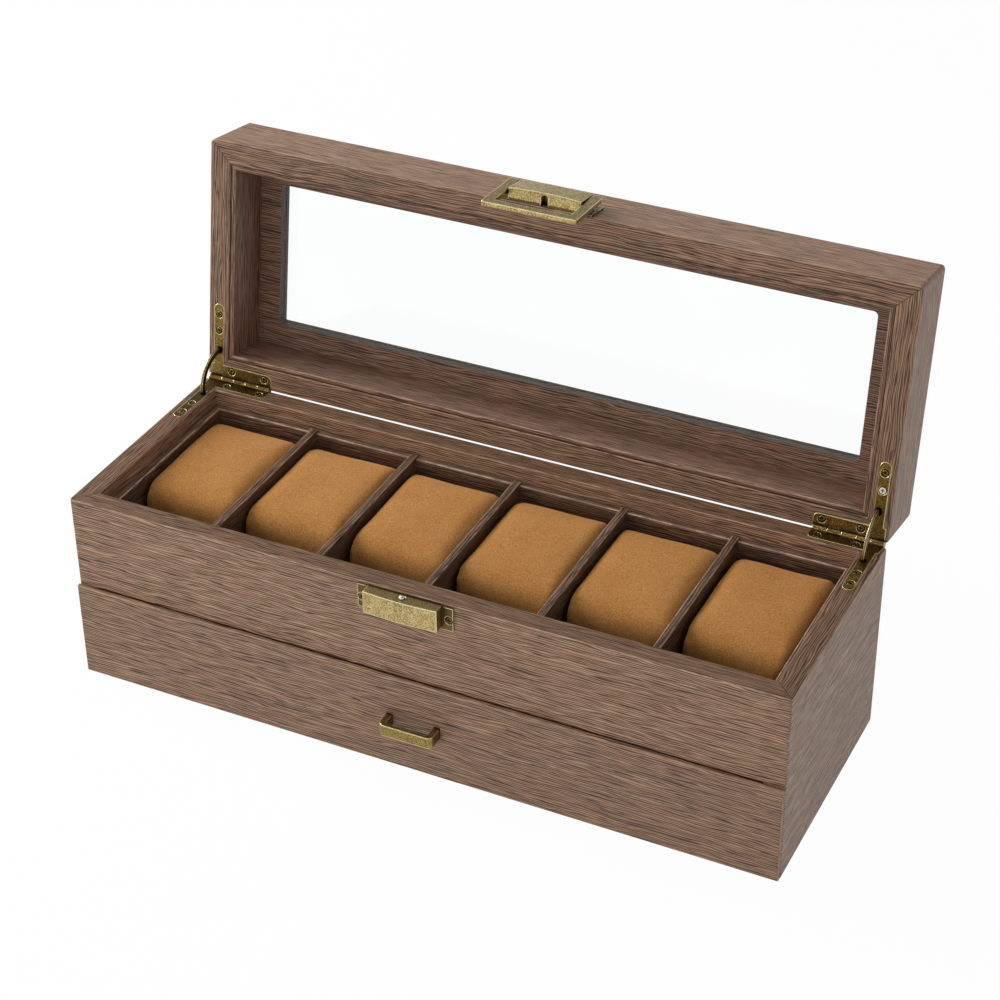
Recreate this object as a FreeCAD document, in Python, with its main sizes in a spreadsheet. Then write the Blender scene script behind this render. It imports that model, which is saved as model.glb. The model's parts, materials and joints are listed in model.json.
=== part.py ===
import FreeCAD, Part
import math
import os
import re
import Sketcher

# Watch storage box: a six-place tray over one drawer, under a hinged glazed lid.
# Millimetres, +Z up, front towards -Y. The origin is the centre of the underside.
# The lid is drawn closed and then turned open about the hinge axis.

NEAR = 0.001
DIVIDERS = 5
KNUCKLES = 5
SIDES = ("left", "right")

SIZES = [
    ("cutter_spare", 1.0, "reach of a cutting shape beyond what it cuts"),
    ("case_width", 320.0, "outside width of case and lid"),
    ("case_depth", 111.0, "outside depth of case and lid"),
    ("case_height", 88.5, "floor to case rim"),
    ("case_wall", 9.0, "thickness of the case boards"),
    ("edge_round", 1.0, "rounding of the upright edges of the case"),
    ("rim_round", 0.5, "rounding of the inner and outer rim edges of case and lid"),
    ("front_low", 45.9, "underside of the case front board"),
    ("shelf_thick", 3.0, "middle shelf"),
    ("shelf_inset", 1.0, "shelf and bottom panel behind the case front"),
    ("bottom_thick", 3.0, "bottom panel"),
    ("liner_thick", 4.0, "tray liner boards"),
    ("liner_drop", 6.8, "tray liner below the rim"),
    ("liner_round", 1.2, "rounding of liner top edges"),
    ("divider_thick", 3.4, "divider boards"),
    ("divider_drop", 5.6, "divider tops below the rim"),
    ("divider_round", 1.0, "rounding of divider tops"),
    ("groove_depth", 2.0, "grooves that seat the dividers in the liner"),
    ("lining_thick", 1.0, "suede lining in tray and drawer"),
    ("lid_height", 31.5, "rim to top of the lid"),
    ("lid_wall", 9.8, "thickness of the lid walls"),
    ("lid_gap", 0.3, "gap between the closed rims"),
    ("lid_round", 2.0, "rounding of the upright and top edges of the lid"),
    ("top_thick", 4.5, "lid top panel"),
    ("frame_thick", 4.0, "inner frame under the glass"),
    ("window_side", 12.8, "inner frame opening from the lid side walls"),
    ("window_end", 12.8, "inner frame opening from the lid front and back walls"),
    ("window_round", 2.2, "corner radius of the inner frame opening"),
    ("window_step", 0.6, "top panel opening beyond the inner frame opening"),
    ("window_crease", 0.4, "corner radius of the top panel opening"),
    ("glass_thick", 2.2, "glass pane"),
    ("glass_hold", 3.0, "glass held beyond the top panel opening"),
    ("glass_play", 0.2, "play around the glass"),
    ("lid_liner_thick", 2.0, "lid liner boards"),
    ("lid_liner_gap", 0.4, "shadow gap between lid wall and liner"),
    ("lid_liner_round", 0.8, "rounding of the lid liner edge"),
    ("lid_liner_back", 0.2, "lid liner edge behind the lid rim"),
    ("strip_thick", 0.8, "strip on the back of the lid"),
    ("strip_low", 2.5, "strip above the lid rim"),
    ("strip_high", 26.5, "top of the strip above the lid rim"),
    ("strip_inset", 1.5, "strip ends in from the lid sides"),
    ("open_angle", 99.0, "lid opening"),
    ("axis_out", 0.1, "hinge axis behind the case back"),
    ("barrel_radius", 1.625, "hinge barrel"),
    ("barrel_gap", 0.25, "groove around the barrel"),
    ("barrel_end", 31.8, "inner end of a barrel from the case side"),
    ("knuckle_pitch", 6.2, "knuckle spacing"),
    ("knuckle_gap", 0.3, "gap between knuckles"),
    ("hinge_pin_radius", 0.7, "hinge pin"),
    ("pin_play", 0.05, "radial play on every pin"),
    ("leaf_thick", 0.9, "hinge leaf plate"),
    ("leaf_end", 32.3, "inner end of a leaf from the case side"),
    ("leaf_side", 1.4, "outer end of a leaf from the case side"),
    ("leaf_rear", 6.8, "rear arm of a leaf from the case back"),
    ("leaf_corner", 2.4, "rounded corner of the rear arm"),
    ("arm_side", 5.1, "side arm centre line from the case side"),
    ("arm_width", 5.0, "side arm"),
    ("arm_reach", 35.7, "side arm from the case back"),
    ("web_reach", 1.0, "web of a knuckle short of the axis"),
    ("rear_screw_side", 11.9, "outer screw of the rear arm from the case side"),
    ("rear_screw_end", 28.6, "inner screw of the rear arm from the case side"),
    ("rear_screw_in", 4.5, "rear arm screws from the case back"),
    ("side_screw_a", 23.1, "side arm screw from the case back"),
    ("side_screw_b", 30.8, "side arm screw from the case back"),
    ("screw_head", 1.4, "head radius of the small screws"),
    ("screw_head_high", 0.7, "head height of the small screws"),
    ("screw_shank", 0.7, "shank radius of the small screws"),
    ("screw_long", 5.0, "length of the small screws"),
    ("cross_width", 0.45, "cross recess bar"),
    ("cross_part", 0.62, "half length of a cross bar as a part of its screw head's radius"),
    ("cross_deep", 0.35, "cross recess depth"),
    ("seat_gap", 0.4, "ring-shaped gap round a screw head or the locating pin"),
    ("seat_deep", 0.4, "depth of that gap"),
    ("stay_radius", 13.8, "centre line radius of a stay arm"),
    ("stay_width", 2.6, "radial width of a stay arm"),
    ("stay_thick", 1.0, "thickness of a stay arm"),
    ("stay_side", 5.5, "stay plane from the case side"),
    ("stay_overlap", 4.0, "degrees of stay inside each slot when open"),
    ("slot_side", 0.5, "slot clearance beside a stay"),
    ("slot_end", 0.35, "slot clearance at the stay edges"),
    ("pocket_inner", 6.85, "stay pocket from the hinge axis"),
    ("pocket_deep", 13.4, "stay pocket below the rim"),
    ("latch_across", -1.5, "latch and catch centre"),
    ("latch_width", 32.8, "latch and catch blocks"),
    ("ear_width", 42.6, "over the ears of latch and catch"),
    ("ear_thick", 0.8, "ears"),
    ("ear_screw_across", 19.4, "ear screws from the latch centre"),
    ("catch_low", 10.8, "bottom of the catch block below the rim"),
    ("catch_top", 0.8, "top of the catch block below the rim"),
    ("catch_proud", 5.65, "ends of the catch block off the case"),
    ("catch_crown", 0.8, "bulge of the catch face"),
    ("catch_ear_low", 12.3, "bottom of the catch ears below the rim"),
    ("catch_ear_top", 1.3, "top of the catch ears below the rim"),
    ("catch_screw_low", 7.3, "catch ear screws below the rim"),
    ("post_radius", 1.2, "locating pin"),
    ("post_out", 3.3, "locating pin off the case"),
    ("post_high", 0.2, "locating pin above the block before its dome"),
    ("post_sunk", 3.0, "locating pin inside the block"),
    ("latch_low", 0.6, "latch block above the lid rim"),
    ("latch_top", 12.6, "top of the latch block above the lid rim"),
    ("latch_proud", 5.5, "ends of the latch block off the lid"),
    ("latch_crown", 0.6, "bulge of the latch face"),
    ("latch_ear_low", 0.6, "bottom of the latch ears above the lid rim"),
    ("latch_ear_top", 13.0, "top of the latch ears above the lid rim"),
    ("latch_screw_high", 6.3, "latch ear screws above the lid rim"),
    ("notch_width", 3.2, "notch for the locating pin"),
    ("notch_high", 5.0, "notch height off the lid"),
    ("notch_deep", 4.0, "notch depth from the lid rim side"),
    ("pivot_high", 10.7, "bail pivot above the lid rim"),
    ("pivot_out", 4.4, "bail pivot off the lid"),
    ("pivot_radius", 0.6, "bail pins"),
    ("pivot_sunk", 3.0, "bail pins inside the latch block"),
    ("bail_width", 42.5, "over the bail arms"),
    ("bail_arm", 4.2, "bail arm"),
    ("bail_bar", 3.8, "bail front bar"),
    ("bail_reach", 26.1, "bail front edge from its pivot"),
    ("bail_tail", 1.6, "bail arm end behind its pivot"),
    ("bail_thick", 2.06, "bail plate"),
    ("bail_droop", 5.2, "lean of the resting bail towards the case, degrees"),
    ("bail_round", 0.8, "outer corners of the bail"),
    ("face_thick", 2.0, "drawer face panel"),
    ("face_gap", 0.3, "drawer face in front of the case"),
    ("face_low", 0.4, "drawer face above the floor"),
    ("face_top_gap", 0.5, "drawer face below the case front board"),
    ("face_round", 0.7, "rounded front edges of the drawer face"),
    ("drawer_play", 0.8, "drawer box beside the case boards"),
    ("drawer_lift", 0.5, "drawer box above the bottom panel"),
    ("drawer_box_high", 35.0, "drawer box boards"),
    ("drawer_box_front", 7.0, "drawer box front board"),
    ("drawer_board", 6.0, "drawer side and back boards"),
    ("drawer_bottom_thick", 2.5, "drawer bottom"),
    ("drawer_back_gap", 3.0, "drawer box in front of the case back"),
    ("pull_across", 1.2, "pull centre"),
    ("pull_height", 24.2, "pull centre above the floor"),
    ("pull_width", 24.4, "over the pull"),
    ("pull_out", 8.3, "pull off the drawer face"),
    ("pull_high", 5.2, "width of the pull strap"),
    ("pull_thick", 1.7, "thickness of the pull bar"),
    ("pull_foot", 2.7, "thickness of the pull feet"),
    ("pull_round", 2.6, "outer corner radius of the pull"),
    ("pull_inner_round", 1.0, "inner corner radius of the pull"),
    ("pull_screw_shank", 0.8, "pull screw radius"),
    ("pull_screw_head", 2.2, "pull screw head radius"),
    ("pull_screw_head_high", 1.2, "pull screw head height"),
    ("pull_screw_bite", 4.0, "pull screw inside the pull foot"),
    ("cushion_side_gap", 0.3, "cushion beside liner and dividers"),
    ("cushion_back_gap", 1.0, "cushion in front of the back liner"),
    ("cushion_floor_gap", 0.3, "cushion above the tray lining"),
    ("cushion_depth", 66.0, "cushion front to back"),
    ("cushion_high", 33.0, "cushion height at its ends"),
    ("cushion_round", 12.5, "cushion edge radius, front and back"),
    ("cushion_crown", 1.2, "rise of the cushion middle"),
    ("cushion_drawn", 2.6, "ends of the cushion drawn in"),
    ("cushion_end", 3.0, "length of the rounded cushion end"),
]

document = FreeCAD.newDocument("watch_box")
sheet = document.addObject("Spreadsheet::Sheet", "Sizes")
for row, (alias, value, meaning) in enumerate(SIZES, start=1):
    sheet.set(f"A{row}", str(value))
    sheet.set(f"B{row}", meaning)
    sheet.setAlias(f"A{row}", alias)
document.recompute()

pieces = []

# Derived places, written once from the sizes
HALF_X = "(case_width / 2)"
HALF_Y = "(case_depth / 2)"
IN_X = "(case_width / 2 - case_wall)"
IN_Y = "(case_depth / 2 - case_wall)"
TRAY_X = "(case_width / 2 - case_wall - liner_thick)"
TRAY_Y = "(case_depth / 2 - case_wall - liner_thick)"
LINER_TOP = "(case_height - liner_drop)"
DIVIDER_TOP = "(case_height - divider_drop)"
TRAY_FLOOR = "(front_low + lining_thick)"
DIVIDER_PITCH = f"((2 * {TRAY_X} + divider_thick) / {DIVIDERS + 1})"
RIM = "(case_height + lid_gap)"
LID_TOP = "(case_height + lid_gap + lid_height)"
LID_X = "(case_width / 2 - lid_wall)"
LID_Y = "(case_depth / 2 - lid_wall)"
PANEL_LOW = "(case_height + lid_gap + lid_height - top_thick)"
FRAME_LOW = "(case_height + lid_gap + lid_height - top_thick - frame_thick)"
WINDOW_X = "(case_width / 2 - lid_wall - window_side)"
WINDOW_Y = "(case_depth / 2 - lid_wall - window_end)"
AXIS_Y = "(case_depth / 2 + axis_out)"
AXIS_Z = "(case_height + lid_gap / 2)"
PLATE_REAR = "(case_depth / 2 + axis_out - barrel_radius - barrel_gap)"
BARREL_INNER = "(case_width / 2 - barrel_end)"
LEAF_INNER = "(case_width / 2 - leaf_end)"
LEAF_OUTER = "(case_width / 2 - leaf_side)"
ARM_ACROSS = "(case_width / 2 - arm_side)"
STAY_ACROSS = "(case_width / 2 - stay_side)"
STAY_OUTER = "(stay_radius + stay_width / 2)"
STAY_INNER = "(stay_radius - stay_width / 2)"
DRAWER_X = "(case_width / 2 - case_wall - drawer_play)"
DRAWER_LOW = "(bottom_thick + drawer_lift)"
DRAWER_TOP = "(bottom_thick + drawer_lift + drawer_box_high)"
DRAWER_REAR = "(case_depth / 2 - case_wall - drawer_back_gap)"
DRAWER_FLOOR = "(bottom_thick + drawer_lift + drawer_bottom_thick)"
FACE_BACK = "(-case_depth / 2 - face_gap)"
FACE_FRONT = "(-case_depth / 2 - face_gap - face_thick)"
FACE_TOP = "(front_low - face_top_gap)"
BOX_FRONT_IN = "(-case_depth / 2 - face_gap + drawer_box_front)"
PULL_FEET = "(pull_width / 2 - pull_foot / 2)"
PIVOT_Y = "(-case_depth / 2 - pivot_out)"
PIVOT_Z = "(case_height + lid_gap + pivot_high)"
OPENED = (
    "placement(vector(0; 0; 0); rotation(vector(1; 0; 0); -open_angle); "
    f"vector(0; {AXIS_Y}; {AXIS_Z}))"
)
LEANING = (
    "placement(vector(0; 0; 0); rotation(vector(1; 0; 0); bail_droop); "
    f"vector(0; {PIVOT_Y}; {PIVOT_Z}))"
)


def tie(item, field, formula):
    """Bind a property to a formula written with the names of the sheet."""
    words = re.sub(r"[a-z]+(?:_[a-z]+)+", lambda word: "Sizes." + word.group(), formula)
    item.setExpression(field, words)


def size(alias):
    """The number in one cell of the sheet."""
    return float(sheet.get(alias))


def keep(item, in_lid=False):
    """Mark an object as a piece of its own, turned open if it belongs to the lid."""
    if in_lid:
        tie(item, "Placement", OPENED)
    pieces.append(item)
    return item


def keep_lid_box(label, across, deep, high):
    """A plain block of the lid, kept as a piece and turned open with it."""
    block = keep(box(label, across, deep, high))
    for axis in "xyz":
        block.setExpression("Placement.Base." + axis, None)
    corner = "; ".join(low for low, top in (across, deep, high))
    tie(block, "Placement", f"{OPENED} * placement(vector({corner}); rotation(vector(0; 0; 1); 0))")


def add(kind, label):
    """A new object whose label is its name."""
    item = document.addObject(kind, label)
    item.Label = label
    return item


def around(centre, half):
    """A span of a half width each side of a centre."""
    return f"({centre}) - ({half})", f"({centre}) + ({half})"


def both_sides(half):
    """A span from minus a half width to plus it."""
    return around("0", half)


def on_side(side, low, high):
    """A span on the right as written, and on the left mirrored."""
    return (low, high) if side == "right" else (f"-({high})", f"-({low})")


def at_side(side, place):
    """A place on the right as written, and on the left mirrored."""
    return place if side == "right" else f"-({place})"


# Building blocks


def box(label, across, deep, high):
    """A plain block from spans along X, Y and Z."""
    block = add("Part::Box", label)
    for axis, field, (low, top) in zip("xyz", ("Length", "Width", "Height"), (across, deep, high)):
        tie(block, field, f"({top}) - ({low})")
        tie(block, "Placement.Base." + axis, low)
    return block


ALONG = {
    "x": FreeCAD.Rotation(FreeCAD.Vector(0, 1, 0), 90),
    "y": FreeCAD.Rotation(FreeCAD.Vector(1, 0, 0), -90),
    "z": FreeCAD.Rotation(),
}


def rod(label, axis, place, radius, length):
    """A cylinder from the centre of its low end."""
    bar = add("Part::Cylinder", label)
    bar.Placement = FreeCAD.Placement(FreeCAD.Vector(), ALONG[axis])
    tie(bar, "Radius", radius)
    tie(bar, "Height", length)
    for side, formula in zip("xyz", place):
        tie(bar, "Placement.Base." + side, formula)
    return bar


def cone(label, axis, place, low_radius, high_radius, length):
    """A cone from the centre of its low end."""
    taper = add("Part::Cone", label)
    taper.Placement = FreeCAD.Placement(FreeCAD.Vector(), ALONG[axis])
    tie(taper, "Radius1", low_radius)
    tie(taper, "Radius2", high_radius)
    tie(taper, "Height", length)
    for side, formula in zip("xyz", place):
        tie(taper, "Placement.Base." + side, formula)
    return taper


def join(label, shapes):
    """Several shapes fused into one."""
    whole = add("Part::MultiFuse", label)
    whole.Shapes = shapes
    return whole


def group(label, shapes):
    """Several separate solids kept together under one name."""
    together = add("Part::Compound", label)
    together.Links = shapes
    return together


def cut(label, whole, cutters):
    """A shape with others taken out of it."""
    result = add("Part::Cut", label)
    result.Base = whole
    result.Tool = cutters[0] if len(cutters) == 1 else join(label + "_cutters", cutters)
    return result


def common(label, first, second):
    """What two shapes share."""
    result = add("Part::Common", label)
    result.Base = first
    result.Tool = second
    return result


def plane_of(body, role):
    """An origin plane of a body."""
    return next(item for item in body.Origin.OriginFeatures if item.Role == role)


def rectangle(body, label, across, deep, level):
    """A rectangle sketch at a level, its low corner at its own origin."""
    sketch = body.newObject("Sketcher::SketchObject", label)
    sketch.AttachmentSupport = [(plane_of(body, "XY_Plane"), "")]
    sketch.MapMode = "FlatFace"
    corners = [FreeCAD.Vector(*spot, 0) for spot in ((0, 0), (1, 0), (1, 1), (0, 1))]
    for start, end in zip(corners, corners[1:] + corners[:1]):
        sketch.addGeometry(Part.LineSegment(start, end), False)
    for line in range(4):
        sketch.addConstraint(Sketcher.Constraint("Coincident", line, 2, (line + 1) % 4, 1))
    for line, kind in enumerate(("Horizontal", "Vertical", "Horizontal", "Vertical")):
        sketch.addConstraint(Sketcher.Constraint(kind, line))
    sketch.addConstraint(Sketcher.Constraint("Coincident", 0, 1, -1, 1))
    for name, kind, line in (("width", "DistanceX", 0), ("height", "DistanceY", 1)):
        index = sketch.addConstraint(Sketcher.Constraint(kind, line, 1, line, 2, 1.0))
        sketch.renameConstraint(index, name)
    tie(sketch, "Constraints.width", f"({across[1]}) - ({across[0]})")
    tie(sketch, "Constraints.height", f"({deep[1]}) - ({deep[0]})")
    tie(sketch, "AttachmentOffset.Base.x", across[0])
    tie(sketch, "AttachmentOffset.Base.y", deep[0])
    tie(sketch, "AttachmentOffset.Base.z", level)
    return sketch


def ends_of(edge):
    return edge.Vertexes[0].Point, edge.Vertexes[-1].Point


def upright(edge, bounds):
    first, last = ends_of(edge)
    return abs(first.z - last.z) > bounds.ZLength / 2


def at_top(edge, bounds):
    return all(abs(point.z - bounds.ZMax) < NEAR for point in ends_of(edge))


def at_bottom(edge, bounds):
    return all(abs(point.z - bounds.ZMin) < NEAR for point in ends_of(edge))


def at_front(edge, bounds):
    return all(abs(point.y - bounds.YMin) < NEAR for point in ends_of(edge))


def soften(body, label, radius, chosen):
    """Round the edges of a body for which the test is true."""
    document.recompute()
    tip = body.Tip
    bounds = tip.Shape.BoundBox
    names = [f"Edge{n}" for n, edge in enumerate(tip.Shape.Edges, 1) if chosen(edge, bounds)]
    fillet = body.newObject("PartDesign::Fillet", label)
    fillet.Base = (tip, names)
    tie(fillet, "Radius", radius)
    body.Tip = fillet
    return fillet


def rounded(label, across, deep, high, radius, chosen):
    """A block with chosen edges rounded."""
    body = add("PartDesign::Body", label)
    outline = rectangle(body, label + "_outline", across, deep, high[0])
    pad = body.newObject("PartDesign::Pad", label + "_pad")
    pad.Profile = outline
    tie(pad, "Length", f"({high[1]}) - ({high[0]})")
    soften(body, label + "_rounding", radius, chosen)
    return body


def ring(label, outer, inner, high, rounding, chosen, rim_rounding, rim_chosen):
    """Four walls in one: a rounded block, hollowed right through, its rim rounded inside and out."""
    body = rounded(label, both_sides(outer[0]), both_sides(outer[1]), high, rounding, chosen)
    solid_volume = volume_after_recompute(body)
    hollow = rectangle(body, label + "_hollow", both_sides(inner[0]), both_sides(inner[1]), high[0])
    pocket = body.newObject("PartDesign::Pocket", label + "_pocket")
    pocket.Profile = hollow
    pocket.Type = "ThroughAll"
    pocket.Reversed = True
    body.Tip = pocket
    if volume_after_recompute(body) > solid_volume / 2:
        raise SystemExit(f"{label}: the pocket missed the block")
    soften(body, label + "_rim", rim_rounding, rim_chosen)
    return body


def volume_after_recompute(body):
    document.recompute()
    return body.Shape.Volume


def slope(label, face, half, high):
    """The mitred space of a front or back board: it narrows inwards at 45 degrees."""
    reach = "(case_wall + lid_wall)"
    wide = f"({half[0]} + cutter_spare)"
    narrow = f"({half[0]} - {reach})"
    wedge = add("Part::Wedge", label)
    outer, inner = (wide, narrow) if face == "front" else (narrow, wide)
    if face == "front":
        span = (f"-({half[1]}) - cutter_spare", f"-({half[1]}) + {reach}")
    else:
        span = (f"({half[1]}) - {reach}", f"({half[1]}) + cutter_spare")
    tie(wedge, "Ymin", span[0])
    tie(wedge, "Ymax", span[1])
    for prefix, width in (("X", outer), ("X2", inner)):
        tie(wedge, prefix + "min", f"-({width})")
        tie(wedge, prefix + "max", width)
    for prefix in ("Z", "Z2"):
        tie(wedge, prefix + "min", high[0])
        tie(wedge, prefix + "max", high[1])
    return wedge


def mitred(label, walls, half, high, front_low=None, cutters=()):
    """Four boards cut from a ring, mitred at its corners."""
    span = (f"({high[0]}) - cutter_spare", f"({high[1]}) + cutter_spare")
    front_span = (front_low or span[0], span[1])
    front = slope(label + "_front_space", "front", half, front_span)
    back = slope(label + "_back_space", "back", half, span)
    boards = {
        "front": common(label + "_front_blank", walls, front),
        "back": common(label + "_back_blank", walls, back),
    }
    for side in SIDES:
        reach = on_side(side, "0", f"({half[0]}) + cutter_spare")
        room = box(f"{label}_{side}_room", reach, both_sides(f"({half[1]}) + cutter_spare"), span)
        blank = common(f"{label}_{side}_share", walls, room)
        boards[side] = cut(f"{label}_{side}_blank", blank, [front, back, *cutters])
    return boards


# Screws


def screw(label, axis, sense, place, head, head_high, shank, long):
    """A countersunk screw from the centre of its head face: plain, and with its cross recess."""
    index = "xyz".index(axis)
    cone_place, shank_place = list(place), list(place)
    radii = (head, shank)
    if sense < 0:
        cone_place[index] = f"({place[index]}) - ({head_high})"
        shank_place[index] = f"({place[index]}) - ({long})"
        radii = (shank, head)
    plain = join(label + "_plain", [
        cone(label + "_head", axis, cone_place, *radii, head_high),
        rod(label + "_shank", axis, shank_place, shank, long),
    ])
    depth = [f"({place[index]})", f"({place[index]}) + cross_deep"]
    if sense < 0:
        depth = [f"({place[index]}) - cross_deep", f"({place[index]})"]
    others = [n for n in range(3) if n != index]
    bars = []
    for number, wide_axis in enumerate(others):
        spans = [None, None, None]
        spans[index] = depth
        for n in others:
            half = f"({head}) * cross_part" if n == wide_axis else "cross_width / 2"
            spans[n] = around(place[n], half)
        bars.append(box(f"{label}_bar_{number}", *spans))
    return plain, cut(label, plain, bars)


def small_screw(label, axis, sense, place):
    """A small screw, and its cutter: the screw itself with the gap round its head."""
    plain, finished = screw(
        label, axis, sense, place, "screw_head", "screw_head_high", "screw_shank", "screw_long"
    )
    start = list(place)
    index = "xyz".index(axis)
    if sense < 0:
        start[index] = f"({place[index]}) - seat_deep"
    gap = rod(label + "_gap", axis, start, "screw_head + seat_gap", "seat_deep")
    return join(label + "_seat", [plain, gap]), finished


# Case


def hinge_screw_places(side, level):
    """Head centres of the four screws of one hinge leaf."""
    rear = f"({HALF_Y} - rear_screw_in)"
    return [
        (at_side(side, f"({HALF_X} - rear_screw_side)"), rear, level),
        (at_side(side, f"({HALF_X} - rear_screw_end)"), rear, level),
        (at_side(side, ARM_ACROSS), f"({HALF_Y} - side_screw_a)", level),
        (at_side(side, ARM_ACROSS), f"({HALF_Y} - side_screw_b)", level),
    ]


def knuckle_span(side, number):
    low = f"({BARREL_INNER} + {number} * knuckle_pitch)"
    return on_side(side, low, f"{low} + knuckle_pitch - knuckle_gap")


def leaf_plate(label, side, high, numbers):
    """The L-shaped plate of a leaf with the webs that carry its knuckles."""
    front = f"({HALF_Y} - leaf_rear)"
    bend = f"({HALF_Y} - leaf_rear + leaf_corner)"
    tall = f"({high[1]}) - ({high[0]})"
    corner_across = f"({LEAF_INNER} + leaf_corner)"
    corner = (at_side(side, corner_across), bend, high[0])
    end = (at_side(side, ARM_ACROSS), f"({HALF_Y} - arm_reach + arm_width / 2)", high[0])
    shapes = [
        box(label + "_rear", on_side(side, corner_across, LEAF_OUTER), (front, PLATE_REAR), high),
        box(label + "_tip", on_side(side, LEAF_INNER, corner_across), (bend, PLATE_REAR), high),
        rod(label + "_corner", "z", corner, "leaf_corner", tall),
        box(label + "_arm", around(at_side(side, ARM_ACROSS), "arm_width / 2"), (end[1], bend), high),
        rod(label + "_end", "z", end, "arm_width / 2", tall),
    ]
    for number in numbers:
        reach = (bend, f"({AXIS_Y} - web_reach)")
        shapes.append(box(f"{label}_web_{number}", knuckle_span(side, number), reach, high))
    return join(label, shapes)


def stay_slot(label, side, deep, high):
    """A narrow opening that a stay arm slides through."""
    half = "(stay_thick / 2 + slot_side)"
    return box(label, around(at_side(side, STAY_ACROSS), half), deep, high)


def barrel_rod(label, side, span, radius):
    low, high = span
    return rod(label, "x", (low, AXIS_Y, AXIS_Z), radius, f"({high}) - ({low})")


def hinge_side(owner, side, high, level, sense, numbers, pocket_high):
    """One leaf with its screws, and everything that it needs cut out of the boards."""
    name = f"{owner}_hinge_leaf_{side}"
    plate = leaf_plate(name + "_plate", side, high, numbers)
    knuckles = [
        barrel_rod(f"{name}_knuckle_{n}", side, knuckle_span(side, n), "barrel_radius") for n in numbers
    ]
    whole = on_side(side, f"({BARREL_INNER} - barrel_gap)", f"({HALF_X} + cutter_spare)")
    bore = barrel_rod(name + "_bore", side, whole, "hinge_pin_radius + pin_play")
    groove = barrel_rod(name + "_groove", side, whole, "barrel_radius + barrel_gap")
    outer = f"({AXIS_Y} - {STAY_OUTER} - slot_end)"
    slot_span = (outer, f"({AXIS_Y} - {STAY_INNER} + slot_end)")
    tall = (f"({high[0]}) - cutter_spare", f"({high[1]}) + cutter_spare")
    slot = stay_slot(name + "_slot", side, slot_span, tall)
    pocket = stay_slot(name + "_pocket", side, (outer, f"({AXIS_Y} - pocket_inner)"), pocket_high)
    plain, finished = [], []
    for number, place in enumerate(hinge_screw_places(side, level)):
        blank, crossed = small_screw(f"{name}_screw_{number}", "z", sense, place)
        plain.append(blank)
        finished.append(crossed)
    leaf = cut(name, join(name + "_blank", [plate, *knuckles]), [bore, slot, *plain])
    return leaf, finished, [plate, groove, pocket, *plain]


def hinges(owner, high, level, sense, numbers, pocket_high, in_lid):
    """Both leaves and their screws, and the cutters for the boards round them."""
    screws, cutters = [], []
    for side in SIDES:
        leaf, finished, room = hinge_side(owner, side, high, level, sense, numbers, pocket_high)
        keep(leaf, in_lid)
        screws += finished
        cutters += room
    keep(group(owner + "_hinge_screws", screws), in_lid)
    return join(owner + "_hinge_room", cutters)


def ear_screws(owner, place_z, face_y):
    """The two screws through the ears of the catch or the latch."""
    plain, finished = [], []
    for side in SIDES:
        across = f"latch_across + ({at_side(side, 'ear_screw_across')})"
        blank, crossed = small_screw(f"{owner}_screw_{side}", "y", 1, (across, face_y, place_z))
        plain.append(blank)
        finished.append(crossed)
    return plain, finished


def crowned(label, high, proud, crown):
    """A block on the front face whose outer face bulges to its middle."""
    half = "(latch_width / 2)"
    apex = f"(-{HALF_Y} - {proud} - {crown})"
    radius = f"(({half} ^ 2 + {crown} ^ 2) / (2 * {crown}))"
    blank = box(label + "_square", around("latch_across", half), (apex, f"-{HALF_Y}"), high)
    tall = f"({high[1]}) - ({high[0]})"
    drum = rod(label + "_drum", "z", ("latch_across", f"{apex} + {radius}", high[0]), radius, tall)
    return common(label, blank, drum)


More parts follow.
